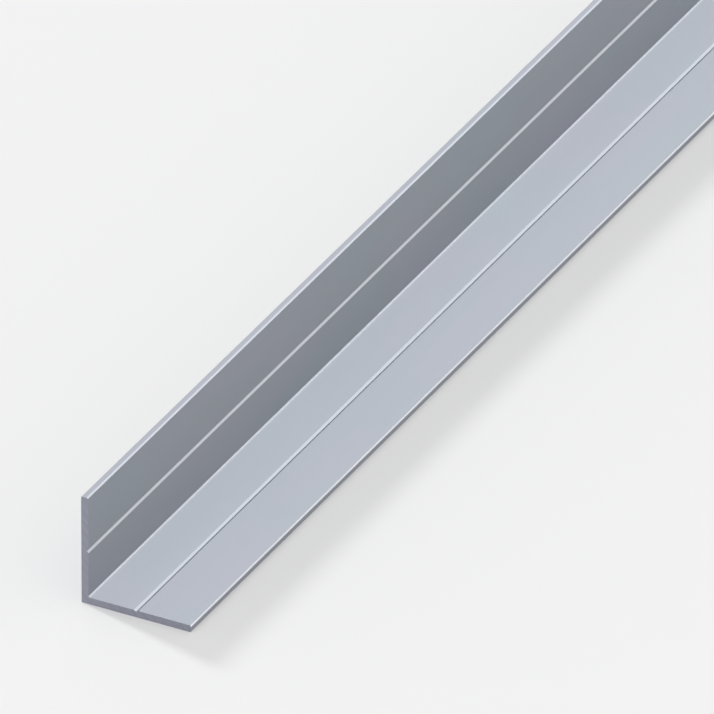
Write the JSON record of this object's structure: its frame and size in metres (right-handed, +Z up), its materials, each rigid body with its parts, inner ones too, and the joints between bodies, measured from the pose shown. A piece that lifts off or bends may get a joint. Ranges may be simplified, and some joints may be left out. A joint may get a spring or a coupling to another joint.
{
  "type": "metal angle section",
  "caption": "Straight aluminium angle section with equal legs and a shallow scribe groove along the middle of each inner face, for edging, framing and brackets.",
  "frame": {"origin": "under the middle of the bar's bounding box, on the plane it rests on", "axes": "+X from the heel to the lying leg's tip, +Y along the bar, +Z up the upright leg"},
  "size_m": [0.0234, 1, 0.0235],
  "materials": {
    "aluminium": "satin, silver, with fine die lines along the length and matt sawn ends"
  },
  "bodies": {
    "root": {"angle_profile": "aluminium"}
  },
  "joints": []
}
